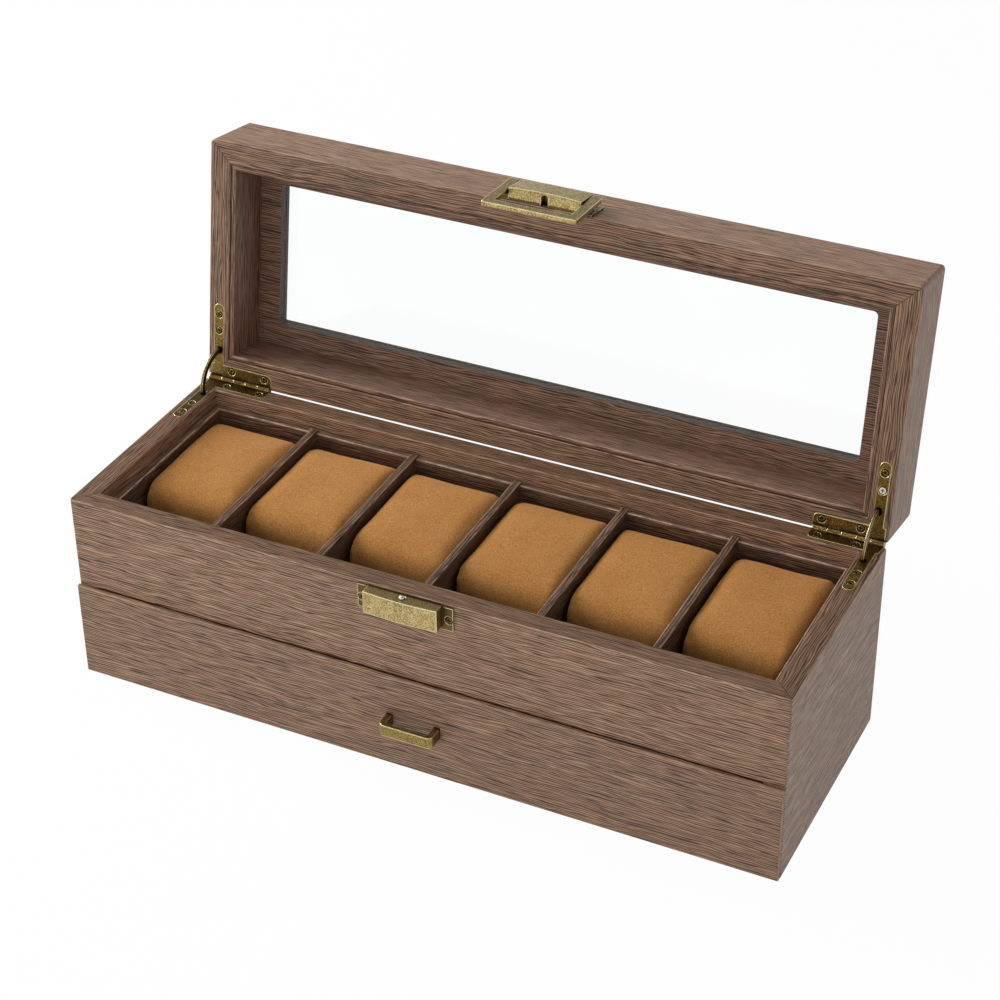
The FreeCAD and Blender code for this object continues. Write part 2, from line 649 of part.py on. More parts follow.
def make_case():
    walls = ring(
        "case_walls", (HALF_X, HALF_Y), (IN_X, IN_Y), ("0", "case_height"),
        "edge_round", upright, "rim_round", at_top,
    )
    below_front = box(
        "drawer_mouth", both_sides(IN_X), (f"-{HALF_Y} - cutter_spare", f"-{IN_Y}"),
        ("-cutter_spare", "front_low"),
    )
    boards = mitred(
        "case", walls, (HALF_X, HALF_Y), ("0", "case_height"), "front_low", [below_front]
    )
    hinge_room = hinges(
        "case", ("case_height - leaf_thick", "case_height"), "case_height", -1,
        range(0, KNUCKLES, 2), ("case_height - pocket_deep", "case_height + cutter_spare"), False,
    )
    ear_face = f"(-{HALF_Y} - ear_thick)"
    screw_level = "(case_height - catch_screw_low)"
    plain, finished = ear_screws("catch", screw_level, ear_face)
    ears = box(
        "catch_ears", around("latch_across", "ear_width / 2"), (ear_face, f"-{HALF_Y}"),
        ("case_height - catch_ear_low", "case_height - catch_ear_top"),
    )
    block = crowned(
        "catch_body", ("case_height - catch_low", "case_height - catch_top"), "catch_proud", "catch_crown"
    )
    post_y = f"(-{HALF_Y} - post_out)"
    post_foot = "(case_height - catch_top - post_sunk)"
    post_top = "(case_height - catch_top + post_high)"
    dome = add("Part::Sphere", "catch_pin_dome")
    tie(dome, "Radius", "post_radius")
    for axis, place in zip("xyz", ("latch_across", post_y, post_top)):
        tie(dome, "Placement.Base." + axis, place)
    stem = rod(
        "catch_pin_stem", "z", ("latch_across", post_y, post_foot), "post_radius",
        f"{post_top} - {post_foot}",
    )
    pin = keep(join("catch_pin", [stem, dome]))
    pin_gap = rod(
        "catch_pin_gap", "z", ("latch_across", post_y, "(case_height - catch_top - seat_deep)"),
        "post_radius + seat_gap", "seat_deep",
    )
    keep(cut("catch_block", join("catch_blank", [ears, block]), [pin, pin_gap, *plain]))
    keep(group("catch_screws", finished))
    keep(cut("case_front_board", boards["front"], plain))
    keep(cut("case_back_board", boards["back"], [hinge_room]))
    for side in SIDES:
        keep(cut(f"case_side_{side}", boards[side], [hinge_room]))
    floor_span = (f"-{HALF_Y} + shelf_inset", IN_Y)
    keep(box("case_mid_shelf", both_sides(IN_X), floor_span, ("front_low - shelf_thick", "front_low")))
    keep(box("case_bottom_panel", both_sides(IN_X), floor_span, ("0", "bottom_thick")))
    pins = []
    for side in SIDES:
        reach = on_side(side, BARREL_INNER, f"{BARREL_INNER} + {KNUCKLES} * knuckle_pitch - knuckle_gap")
        pins.append(barrel_rod(f"hinge_pin_{side}", side, reach, "hinge_pin_radius"))
    keep(group("hinge_pins", pins))


# Tray


def divider_place(number):
    return f"({number} - ({DIVIDERS + 1}) / 2) * {DIVIDER_PITCH}"


def make_tray():
    walls = ring(
        "tray_walls", (IN_X, IN_Y), (TRAY_X, TRAY_Y), ("front_low", LINER_TOP),
        "liner_round", at_top, "liner_round", at_top,
    )
    boards = mitred("tray", walls, (IN_X, IN_Y), ("front_low", LINER_TOP))
    grooves = []
    ends = both_sides(f"{TRAY_Y} + groove_depth")
    for number in range(1, DIVIDERS + 1):
        across = around(divider_place(number), "divider_thick / 2")
        grooves.append(box(f"groove_{number}", across, ends, (TRAY_FLOOR, f"{LINER_TOP} + cutter_spare")))
        divider = rounded(
            f"divider_{number}", across, ends, (TRAY_FLOOR, DIVIDER_TOP), "divider_round", at_top
        )
        keep(divider)
    grooved = join("tray_grooves", grooves)
    for face in ("front", "back"):
        keep(cut(f"tray_liner_{face}", boards[face], [grooved]))
    for side in SIDES:
        boards[side].Label = f"tray_liner_{side}"
        keep(boards[side])
    keep(box("tray_floor_lining", both_sides(TRAY_X), both_sides(TRAY_Y), ("front_low", TRAY_FLOOR)))


# Cushions


def rounded_section(across, deep, high, radius):
    """A closed rounded rectangle in a plane across the cushion."""
    (front, back), (low, top) = deep, high
    slant = radius * math.sqrt(0.5)
    corners = (
        (back - radius, low + radius, 1, -1),
        (back - radius, top - radius, 1, 1),
        (front + radius, top - radius, -1, 1),
        (front + radius, low + radius, -1, -1),
    )
    arcs = []
    for y, z, along, up in corners:
        side_point = FreeCAD.Vector(across, y + along * radius, z)
        level_point = FreeCAD.Vector(across, y, z + up * radius)
        middle = FreeCAD.Vector(across, y + along * slant, z + up * slant)
        ends = (level_point, side_point) if along * up < 0 else (side_point, level_point)
        arcs.append((ends[0], middle, ends[1]))
    edges = []
    for number, (start, middle, end) in enumerate(arcs):
        edges.append(Part.Arc(start, middle, end).toShape())
        following = arcs[(number + 1) % len(arcs)][0]
        edges.append(Part.LineSegment(end, following).toShape())
    return Part.Wire(edges)


def section_places(half, end):
    """Places of the cushion's sections, close together where its ends are drawn in."""
    right = (half / 2, half - end, half - end / 3, half)
    return [-across for across in reversed(right)] + [0] + list(right)


def make_cushion(number):
    """A crowned cushion whose ends are drawn in along a quarter ellipse."""
    tray_x = size("case_width") / 2 - size("case_wall") - size("liner_thick")
    pitch = (2 * tray_x + size("divider_thick")) / (DIVIDERS + 1)
    centre = (number - DIVIDERS / 2) * pitch
    half = (pitch - size("divider_thick")) / 2 - size("cushion_side_gap")
    back = size("case_depth") / 2 - size("case_wall") - size("liner_thick") - size("cushion_back_gap")
    front = back - size("cushion_depth")
    low = size("front_low") + size("lining_thick") + size("cushion_floor_gap")
    top = low + size("cushion_high")
    end = size("cushion_end")
    wires = []
    for across in section_places(half, end):
        past_shoulder = max(0, abs(across) - (half - end)) / end
        inset = size("cushion_drawn") * (1 - math.sqrt(1 - past_shoulder ** 2))
        rise = size("cushion_crown") * (1 - (across / half) ** 2)
        wires.append(rounded_section(
            centre + across, (front + inset, back - inset), (low + inset, top - inset + rise),
            size("cushion_round") - inset,
        ))
    cushion = add("Part::Feature", f"cushion_{number + 1}")
    cushion.Shape = Part.makeLoft(wires, True, False)
    keep(cushion)


# Lid


def window_cutter(label, grow, high, radius):
    across = both_sides(f"{WINDOW_X} + {grow}")
    deep = both_sides(f"{WINDOW_Y} + {grow}")
    return rounded(label, across, deep, high, radius, upright)


def make_lid():
    walls = ring(
        "lid_walls", (HALF_X, HALF_Y), (LID_X, LID_Y), (RIM, LID_TOP),
        "lid_round", lambda e, b: upright(e, b) or at_top(e, b), "rim_round", at_bottom,
    )
    boards = mitred("lid", walls, (HALF_X, HALF_Y), (RIM, LID_TOP))
    hinge_room = hinges(
        "lid", (RIM, f"{RIM} + leaf_thick"), RIM, 1,
        range(1, KNUCKLES, 2), (f"{RIM} - cutter_spare", f"{RIM} + pocket_deep"), True,
    )
    ear_face = f"(-{HALF_Y} - ear_thick)"
    plain, finished = ear_screws("latch", f"({RIM} + latch_screw_high)", ear_face)
    ears = box(
        "latch_ears", around("latch_across", "ear_width / 2"), (ear_face, f"-{HALF_Y}"),
        (f"{RIM} + latch_ear_low", f"{RIM} + latch_ear_top"),
    )
    block = crowned("latch_body", (f"{RIM} + latch_low", f"{RIM} + latch_top"), "latch_proud", "latch_crown")
    arch = f"(-{HALF_Y} - notch_high + notch_width / 2)"
    notch_span = (f"{RIM} + latch_low - cutter_spare", f"{RIM} + latch_low + notch_deep")
    notch = join("latch_notch", [
        box("latch_notch_square", around("latch_across", "notch_width / 2"), (arch, f"-{HALF_Y}"), notch_span),
        rod(
            "latch_notch_arch", "z", ("latch_across", arch, notch_span[0]), "notch_width / 2",
            f"({notch_span[1]}) - ({notch_span[0]})",
        ),
    ])
    pins, arm_bores = [], []
    for side in SIDES:
        span = on_side(side, "(latch_width / 2 - pivot_sunk)", "(bail_width / 2)")
        low = f"latch_across + ({span[0]})"
        length = f"({span[1]}) - ({span[0]})"
        pins.append(rod(f"bail_pin_{side}", "x", (low, PIVOT_Y, PIVOT_Z), "pivot_radius", length))
        arm_bores.append(rod(
            f"bail_bore_{side}", "x", (low, PIVOT_Y, PIVOT_Z), "pivot_radius + pin_play", length,
        ))
    keep(cut("latch_block", join("latch_blank", [ears, block]), [notch, *pins, *plain]), True)
    keep(group("latch_screws", finished), True)
    keep(group("bail_pins", pins), True)
    make_bail(arm_bores)
    keep(cut("lid_wall_front", boards["front"], plain), True)
    keep(cut("lid_wall_back", boards["back"], [hinge_room]), True)
    for side in SIDES:
        keep(cut(f"lid_wall_{side}", boards[side], [hinge_room]), True)
    make_window()
    make_lid_liner()
    keep_lid_box(
        "lid_back_strip", both_sides(f"{HALF_X} - strip_inset"), (HALF_Y, f"{HALF_Y} + strip_thick"),
        (f"{RIM} + strip_low", f"{RIM} + strip_high"),
    )


def make_bail(arm_bores):
    """A flat U that leans on its pins towards the lid front."""
    thick = around(PIVOT_Y, "bail_thick / 2")
    low = f"({PIVOT_Z} - bail_reach)"
    top = f"({PIVOT_Z} + bail_tail)"
    plate = rounded(
        "bail_plate", around("latch_across", "bail_width / 2"), thick, (low, top), "bail_round",
        lambda e, b: at_bottom(e, b) and not at_front(e, b) and abs(ends_of(e)[0].x - ends_of(e)[1].x) < NEAR,
    )
    opening = box(
        "bail_opening", around("latch_across", "bail_width / 2 - bail_arm"),
        (f"({thick[0]}) - cutter_spare", f"({thick[1]}) + cutter_spare"),
        (f"{low} + bail_bar", f"{top} + cutter_spare"),
    )
    bail = cut("latch_bail", plate, [opening, *arm_bores])
    tie(bail, "Placement", f"{OPENED} * {LEANING}")
    keep(bail)


def make_window():
    """The top panel, the pane let into its underside and the frame that holds the pane."""
    seat = "window_step + glass_hold"
    panel = box("lid_top_blank", both_sides(LID_X), both_sides(LID_Y), (PANEL_LOW, LID_TOP))
    opening = window_cutter(
        "lid_top_opening", "window_step", (f"{PANEL_LOW} - cutter_spare", f"{LID_TOP} + cutter_spare"),
        "window_crease",
    )
    rebate = box(
        "lid_top_rebate", both_sides(f"{WINDOW_X} + {seat}"), both_sides(f"{WINDOW_Y} + {seat}"),
        (f"{PANEL_LOW} - cutter_spare", f"{PANEL_LOW} + glass_thick"),
    )
    keep(cut("lid_top_panel", panel, [opening, rebate]), True)
    keep_lid_box(
        "lid_glass", both_sides(f"{WINDOW_X} + {seat} - glass_play"),
        both_sides(f"{WINDOW_Y} + {seat} - glass_play"), (PANEL_LOW, f"{PANEL_LOW} + glass_thick"),
    )
    frame = box("lid_frame_blank", both_sides(LID_X), both_sides(LID_Y), (FRAME_LOW, PANEL_LOW))
    inner = window_cutter(
        "lid_frame_opening", "0", (f"{FRAME_LOW} - cutter_spare", f"{PANEL_LOW} + cutter_spare"),
        "window_round",
    )
    keep(cut("lid_inner_frame", frame, [inner]), True)


def make_lid_liner():
    outer = (f"({LID_X} - lid_liner_gap)", f"({LID_Y} - lid_liner_gap)")
    inner = (f"({LID_X} - lid_liner_gap - lid_liner_thick)", f"({LID_Y} - lid_liner_gap - lid_liner_thick)")
    high = (f"({RIM} + lid_liner_back)", FRAME_LOW)
    walls = ring(
        "lid_liner_walls", outer, inner, high, "lid_liner_round", at_bottom, "lid_liner_round", at_bottom
    )
    for face, board in mitred("lid_liner", walls, outer, high).items():
        board.Label = f"lid_liner_{face}"
        keep(board, True)


# Stays


def make_stays():
    """Curved arms about the hinge axis, from the case slot to the lid slot."""
    for side in SIDES:
        name = f"stay_arm_{side}"
        disc = add("Part::Cylinder", name + "_disc")
        tie(disc, "Radius", STAY_OUTER)
        tie(disc, "Height", "stay_thick")
        tie(disc, "Angle", "open_angle + 2 * stay_overlap")
        hub = rod(name + "_hub", "z", ("0", "0", "-cutter_spare"), STAY_INNER, "stay_thick + 2 * cutter_spare")
        arm = cut(name, disc, [hub])
        low = f"({at_side(side, STAY_ACROSS)}) - stay_thick / 2"
        tie(arm, "Placement", (
            f"placement(vector({low}; {AXIS_Y}; {AXIS_Z}); rotation(vector(1; 1; 1); 120)) * "
            "placement(vector(0; 0; 0); rotation(vector(0; 0; 1); 180 - open_angle - stay_overlap))"
        ))
        keep(arm)


# Drawer


def make_drawer():
    inner_x = f"({DRAWER_X} - drawer_board)"
    inner_rear = f"({DRAWER_REAR} - drawer_board)"
    walls_high = (DRAWER_LOW, DRAWER_TOP)
    face = rounded(
        "drawer_face_blank", both_sides(HALF_X), (FACE_FRONT, FACE_BACK), ("face_low", FACE_TOP),
        "face_round", at_front,
    )
    front = box("drawer_front_blank", both_sides(DRAWER_X), (FACE_BACK, BOX_FRONT_IN), walls_high)
    plain, finished = [], []
    for side in SIDES:
        across = f"pull_across + ({at_side(side, PULL_FEET)})"
        blank, crossed = screw(
            f"pull_screw_{side}", "y", -1, (across, BOX_FRONT_IN, "pull_height"),
            "pull_screw_head", "pull_screw_head_high", "pull_screw_shank",
            "(drawer_box_front + face_thick + pull_screw_bite)",
        )
        plain.append(blank)
        finished.append(crossed)
    keep(group("drawer_pull_screws", finished))
    keep(cut("drawer_face_panel", face, plain))
    keep(cut("drawer_box_front", front, plain))
    bow = rounded(
        "drawer_pull_outer", around("pull_across", "pull_width / 2"), (f"{FACE_FRONT} - pull_out", FACE_FRONT),
        around("pull_height", "pull_high / 2"), "pull_round", lambda e, b: upright(e, b) and at_front(e, b),
    )
    grip = rounded(
        "drawer_pull_inner", around("pull_across", "pull_width / 2 - pull_foot"),
        (f"{FACE_FRONT} - pull_out + pull_thick", f"{FACE_FRONT} + cutter_spare"),
        around("pull_height", "pull_high / 2 + cutter_spare"), "pull_inner_round",
        lambda e, b: upright(e, b) and at_front(e, b),
    )
    keep(cut("drawer_pull", bow, [grip, *plain]))
    for side in SIDES:
        across = on_side(side, inner_x, DRAWER_X)
        keep(box(f"drawer_side_{side}", across, (BOX_FRONT_IN, DRAWER_REAR), walls_high))
    keep(box("drawer_back", both_sides(inner_x), (inner_rear, DRAWER_REAR), walls_high))
    room = (BOX_FRONT_IN, inner_rear)
    keep(box("drawer_bottom", both_sides(inner_x), room, (DRAWER_LOW, DRAWER_FLOOR)))
    keep(box("drawer_lining", both_sides(inner_x), room, (DRAWER_FLOOR, f"{DRAWER_FLOOR} + lining_thick")))


make_case()
make_tray()
make_drawer()
make_lid()
make_stays()
for place in range(DIVIDERS + 1):
    make_cushion(place)
document.recompute()

for item in document.Objects:
    if "Invalid" in item.State or "Error" in item.State:
        raise SystemExit(f"{item.Label}: {item.State}")
for piece in pieces:
    if piece.Shape.isNull() or not piece.Shape.isValid() or not piece.Shape.Solids:
        raise SystemExit(f"{piece.Label}: no valid solid")

os.makedirs("parts", exist_ok=True)
for piece in pieces:
    piece.Shape.exportStep(f"parts/{piece.Label}.step")
print(f"{len(pieces)} pieces written")
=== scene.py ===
"""A watch storage box with a glazed lid and a drawer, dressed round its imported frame."""

import json
import math

import bmesh
import bpy
from mathutils import Matrix, Vector, noise


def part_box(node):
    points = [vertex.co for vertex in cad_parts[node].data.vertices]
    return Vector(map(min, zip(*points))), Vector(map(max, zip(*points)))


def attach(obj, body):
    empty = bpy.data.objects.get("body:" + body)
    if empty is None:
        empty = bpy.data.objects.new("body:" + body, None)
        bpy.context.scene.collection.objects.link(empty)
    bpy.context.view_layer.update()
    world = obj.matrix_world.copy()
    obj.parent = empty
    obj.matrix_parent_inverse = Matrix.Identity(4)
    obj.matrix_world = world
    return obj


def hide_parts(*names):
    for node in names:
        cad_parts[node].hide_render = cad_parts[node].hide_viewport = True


MM = 0.001
ALONG_X, ALONG_Y, ALONG_Z = 0, 1, 2
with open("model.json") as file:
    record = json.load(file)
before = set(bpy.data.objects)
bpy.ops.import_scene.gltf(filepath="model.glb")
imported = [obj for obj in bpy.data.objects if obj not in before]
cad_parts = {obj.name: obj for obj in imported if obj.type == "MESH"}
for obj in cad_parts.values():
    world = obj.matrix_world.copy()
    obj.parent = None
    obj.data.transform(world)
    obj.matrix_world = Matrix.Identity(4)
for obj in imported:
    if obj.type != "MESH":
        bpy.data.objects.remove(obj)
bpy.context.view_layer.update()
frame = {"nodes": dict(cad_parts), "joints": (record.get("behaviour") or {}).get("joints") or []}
nodes = frame["nodes"]
joints = {joint["name"]: joint for joint in frame["joints"]}

# Places read from the frame

LID_AXIS = Vector(joints["lid_hinge"]["pos_m"])
LID_OPENING = math.radians(-joints["lid_hinge"]["range_deg"][0])
CASE_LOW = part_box("case_side_left")[0]
CASE_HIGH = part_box("case_side_right")[1]
RIM_HEIGHT = CASE_HIGH.z
LID_RIM_HEIGHT = 2 * LID_AXIS.z - RIM_HEIGHT
CATCH_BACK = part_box("catch_block")[1].y
DIVIDERS = 5
CUSHIONS = 6


# Colours and nodes


def colour(code):
    """An sRGB hex colour as linear RGBA."""
    channels = [int(code[place:place + 2], 16) / 255 for place in (0, 2, 4)]
    linear = [part / 12.92 if part <= 0.04045 else ((part + 0.055) / 1.055) ** 2.4 for part in channels]
    return (*linear, 1.0)


def put(tree, kind, sockets=None, **settings):
    """Adds a node with its settings. A socket given as a value is linked, anything else is set."""
    made = tree.nodes.new("ShaderNode" + kind)
    for name, value in settings.items():
        setattr(made, name, value)
    for name, value in (sockets or {}).items():
        if isinstance(value, bpy.types.NodeSocket):
            tree.links.new(value, made.inputs[name])
        else:
            made.inputs[name].default_value = value
    return made


MIX_FACTOR, MIX_FIRST, MIX_SECOND, MIX_RESULT = 0, 6, 7, 2


def blended(tree, factor, first, second, how="MIX"):
    """A colour part of the way from the first to the second."""
    sockets = {MIX_FACTOR: factor, MIX_FIRST: first, MIX_SECOND: second}
    return put(tree, "Mix", sockets, data_type="RGBA", blend_type=how).outputs[MIX_RESULT]


def reckoned(tree, how, first, second):
    return put(tree, "Math", {0: first, 1: second}, operation=how).outputs["Value"]


def level_with(tree, value, level, half):
    """1 where the value lies no further than half from the level."""
    return put(tree, "Math", {0: value, 1: level, 2: half}, operation="COMPARE").outputs["Value"]


def vectored(tree, how, first, second, result="Vector"):
    return put(tree, "VectorMath", {0: first, 1: second}, operation=how).outputs[result]


def part_of(tree, place, axis):
    return put(tree, "SeparateXYZ", {"Vector": place}).outputs[axis]


def ramped(tree, value, low, high, start=0.0, end=1.0):
    """A value carried from low..high to start..end and held there."""
    sockets = {"Value": value, "From Min": low, "From Max": high, "To Min": start, "To Max": end}
    return put(tree, "MapRange", sockets, clamp=True).outputs["Result"]


def stretched_noise(tree, place, sizes, detail=2.0, roughness=0.5):
    """Noise whose spots measure these millimetres along X, Y and Z."""
    scaled = vectored(tree, "MULTIPLY", place, [1 / (size * MM) for size in sizes])
    sockets = {"Vector": scaled, "Scale": 1.0, "Detail": detail, "Roughness": roughness}
    return put(tree, "TexNoise", sockets).outputs["Fac"]


def new_material(name):
    material = bpy.data.materials.new(name)
    material.use_nodes = True
    material.node_tree.nodes.clear()
    return material, material.node_tree


def finished(material, shader):
    put(material.node_tree, "OutputMaterial", {"Surface": shader})
    return material


def shut_turn(in_lid):
    """The turn about X that shuts a piece of the lid."""
    return (LID_OPENING if in_lid else 0.0, 0.0, 0.0)


def closed_place(tree, in_lid):
    """The place on a piece, for lid pieces as if the lid was shut, so that patterns follow the boards."""
    turn = shut_turn(in_lid)
    sockets = {
        "Vector": put(tree, "TexCoord").outputs["Object"],
        "Location": LID_AXIS - Matrix.Rotation(turn[0], 3, "X") @ LID_AXIS,
        "Rotation": turn,
    }
    return put(tree, "Mapping", sockets, vector_type="POINT").outputs["Vector"]


# Wood-grain leatherette

# The wrap is polyurethane leatherette, printed and embossed with an open wood grain. Fine lines run
# along each board, dark where the roller pressed them in and light on the ridges between, with short
# pores among them. Soft grey-green patches and redder bands are printed under the lines.
GRAIN_ALONG = {"warp": 30.0, "band": 90.0, "patch": 27.0, "line": 8.0, "sway": 18.0, "pore": 3.4}
GRAIN_ACROSS = {"warp": 7.0, "band": 9.0, "patch": 3.2, "line": 0.8, "sway": 1.1, "pore": 0.36}
WARP = 1.5 * MM
LINE_GAP = 0.95 * MM
SWAY = 1.8
BAND_LEVELS = (0.4, 0.6)
PATCH_LEVELS = (0.53, 0.66)
PATCH_SHARE = 0.75
RIDGE_LEVELS = (0.6, 0.95)
RIDGE_BREAKS = (0.62, 0.4, 0.5, 0.9)
LINE_LEVELS = (0.53, 0.2)
LINE_BREAKS = (0.38, 0.58, 0.6, 0.9)
PORE_LEVELS = (0.6, 0.66)
PORE_IN_PATCH = (0.0, 1.0, 0.15, 0.7)
PORE_DEPTH = 0.5
LINE_DEPTH = 0.15
GRAIN_GLOSS = (0.0, 1.0, 0.58, 0.42)
EMBOSSING = {"Strength": 0.7, "Distance": 0.3 * MM}
WRAP_SPECULAR = 0.42
CASE_TONES = {"red": "A67C62", "grey": "A07C62", "patch": "84725A", "dark": "40281B", "light": "C8A384"}
# The liner tones and the inner tones are darker copies of the case tones: painted shade for the tray's
# liners and dividers and for the lid's inside, which sit in shade. The hidden boards share the liner tones.
SHADED_LINER_TONES = {"red": "6A4937", "grey": "624838", "patch": "4D4032", "dark": "22140C", "light": "90705A"}
DRAWER_TONES = {"red": "9E765E", "grey": "98765E", "patch": "7C6B55", "dark": "3C261A", "light": "BE9A7C"}
SHADED_INNER_TONES = {"red": "8A6350", "grey": "846352", "patch": "6C5B49", "dark": "2C190F", "light": "AE886C"}

# The level faces of the rims get painted shade, darker than the walls. Two wraps meet in a dark seam
# on each mitred corner, folds get a painted highlight in spots, and the cut of the window gets painted
# shade.
RIM_DEPTH = 0.35 * MM
RIM_SHADE_TINT = "C2BAB2"
RIM_SHADE = 0.95
LID_RIM_SHADE = 0.5
SEAM = 0.2 * MM
SEAM_DARK = "1E130E"
SEAM_SHARE = 0.85
FOLD_HIGHLIGHT = "C9A78C"
FOLD_IN = 0.31 * MM
FOLD_HALF = 0.2 * MM
FOLD_SPOT = (5.0, 5.0, 5.0)
FOLD_SHARES = (0.4, 0.6, 0.25, 0.8)
CUT_SHADE = "37281A"
CUT_NEAR = 15.0 * MM
CUT_SHARE = 0.85


def grain_sizes(kind, along):
    sizes = [GRAIN_ACROSS[kind]] * 3
    sizes[along] = GRAIN_ALONG[kind]
    return sizes


def grain_noise(tree, place, kind, along, detail=1.0, roughness=0.5):
    return stretched_noise(tree, place, grain_sizes(kind, along), detail, roughness)


def on_rim(tree, place, in_lid):
    """1 on the level face of a rim and 0 below its rounded edge."""
    height = part_of(tree, place, "Z")
    if in_lid:
        return reckoned(tree, "LESS_THAN", height, LID_RIM_HEIGHT + RIM_DEPTH)
    return reckoned(tree, "GREATER_THAN", height, RIM_HEIGHT - RIM_DEPTH)


def mitre_seam(tree, place, in_lid):
    """1 on the mitred corners of a rim, where two wrapped boards meet, and 0 elsewhere."""
    parts = put(tree, "SeparateXYZ", {"Vector": place})
    across = put(tree, "Math", {0: parts.outputs["X"]}, operation="ABSOLUTE").outputs["Value"]
    deep = put(tree, "Math", {0: parts.outputs["Y"]}, operation="ABSOLUTE").outputs["Value"]
    off_mitre = reckoned(tree, "SUBTRACT", across, deep)
    near = level_with(tree, off_mitre, CASE_HIGH.x + CASE_LOW.y, SEAM)
    return reckoned(tree, "MULTIPLY", near, on_rim(tree, place, in_lid))


def cut_wall(tree, place, in_lid):
    """1 on a wall that faces the middle of the box, such as the cut edge of the window, and 0 elsewhere."""
    sockets = {"Vector": put(tree, "TexCoord").outputs["Normal"], "Rotation": shut_turn(in_lid)}
    shut = put(tree, "Mapping", sockets, vector_type="VECTOR").outputs["Vector"]
    level = vectored(tree, "MULTIPLY", shut, (1.0, 1.0, 0.0))
    outward = vectored(tree, "DOT_PRODUCT", level, place, "Value")
    return reckoned(tree, "LESS_THAN", outward, -CUT_NEAR)


def fold_highlight(tree, place, edge):
    """1 in spots along the rounded edge round a level on an axis, where a highlight is painted on the fold.
    """
    axis, level = edge
    on_fold = level_with(tree, part_of(tree, place, axis), level, FOLD_HALF)
    spots = stretched_noise(tree, place, FOLD_SPOT)
    return reckoned(tree, "MULTIPLY", on_fold, ramped(tree, spots, *FOLD_SHARES))


def ripple(tree, warped, along):
    """0 in the middle of a grain line and 1 between two of them, the lines swaying as they run."""
    sway = grain_noise(tree, warped, "sway", along)
    slope = [1.0 / LINE_GAP] * 3
    slope[along] = 0.0
    count = vectored(tree, "DOT_PRODUCT", warped, slope, "Value")
    swayed = reckoned(tree, "ADD", count, reckoned(tree, "MULTIPLY", sway, SWAY))
    turned = reckoned(tree, "MULTIPLY", swayed, math.tau)
    wave = put(tree, "Math", {0: turned}, operation="SINE").outputs["Value"]
    return ramped(tree, wave, -1.0, 1.0)


def printed(tree, warped, along, tones):
    """The printed grain's colour, its height and its gloss."""
    band = grain_noise(tree, warped, "band", along)
    patch = grain_noise(tree, warped, "patch", along, 3.0, 0.6)
    line = grain_noise(tree, warped, "line", along)
    pore = grain_noise(tree, warped, "pore", along)
    wave = ripple(tree, warped, along)
    in_patch = ramped(tree, patch, *PATCH_LEVELS)
    tone = blended(tree, ramped(tree, band, *BAND_LEVELS), colour(tones["red"]), colour(tones["grey"]))
    tone = blended(tree, reckoned(tree, "MULTIPLY", in_patch, PATCH_SHARE), tone, colour(tones["patch"]))
    ridge = ramped(tree, wave, *RIDGE_LEVELS)
    lit = reckoned(tree, "MULTIPLY", ridge, ramped(tree, line, *RIDGE_BREAKS))
    tone = blended(tree, lit, tone, colour(tones["light"]))
    pressed_line = ramped(tree, wave, *LINE_LEVELS)
    inked = reckoned(tree, "MULTIPLY", pressed_line, ramped(tree, line, *LINE_BREAKS))
    tone = blended(tree, inked, tone, colour(tones["dark"]))
    in_pore = ramped(tree, pore, *PORE_LEVELS)
    pressed = reckoned(tree, "MULTIPLY", in_pore, ramped(tree, in_patch, *PORE_IN_PATCH))
    tone = blended(tree, pressed, tone, colour(tones["dark"]))
    swell = reckoned(tree, "SUBTRACT", line, reckoned(tree, "MULTIPLY", pressed, PORE_DEPTH))
    height = reckoned(tree, "ADD", swell, reckoned(tree, "MULTIPLY", wave, LINE_DEPTH))
    return tone, height, ramped(tree, wave, *GRAIN_GLOSS)


def leatherette(name, along, shift, tones, in_lid=False, mitred=False, edge=None, shaded_cut=False):
    """The wrap of one board, with the grain along an axis of the shut box."""
    material, tree = new_material(name)
    place = closed_place(tree, in_lid)
    moved = vectored(tree, "ADD", place, shift)
    swerve = [WARP] * 3
    swerve[along] = 0.0
    pushed = vectored(tree, "MULTIPLY", grain_noise(tree, moved, "warp", along), swerve)
    warped = vectored(tree, "ADD", moved, pushed)
    tone, height, gloss = printed(tree, warped, along, tones)
    if mitred:
        shade = LID_RIM_SHADE if in_lid else RIM_SHADE
        # Painted shade on the level faces of the rims, less of it on the lid's rims.
        rim_shade = reckoned(tree, "MULTIPLY", on_rim(tree, place, in_lid), shade)
        tone = blended(tree, rim_shade, tone, colour(RIM_SHADE_TINT), "MULTIPLY")
        seam = reckoned(tree, "MULTIPLY", mitre_seam(tree, place, in_lid), SEAM_SHARE)
        tone = blended(tree, seam, tone, colour(SEAM_DARK))
    if edge is not None:
        # A painted highlight in spots along the rounded fold.
        tone = blended(tree, fold_highlight(tree, place, edge), tone, colour(FOLD_HIGHLIGHT))
    if shaded_cut:
        # Painted shade on the walls that face the middle, such as the window's cut edge.
        cut = reckoned(tree, "MULTIPLY", cut_wall(tree, place, in_lid), CUT_SHARE)
        tone = blended(tree, cut, tone, colour(CUT_SHADE))
    sockets = {
        "Base Color": tone,
        "Roughness": gloss,
        "Specular IOR Level": WRAP_SPECULAR,
        "Normal": put(tree, "Bump", {"Height": height} | EMBOSSING).outputs["Normal"],
    }
    return finished(material, put(tree, "BsdfPrincipled", sockets).outputs["BSDF"])


# Suede

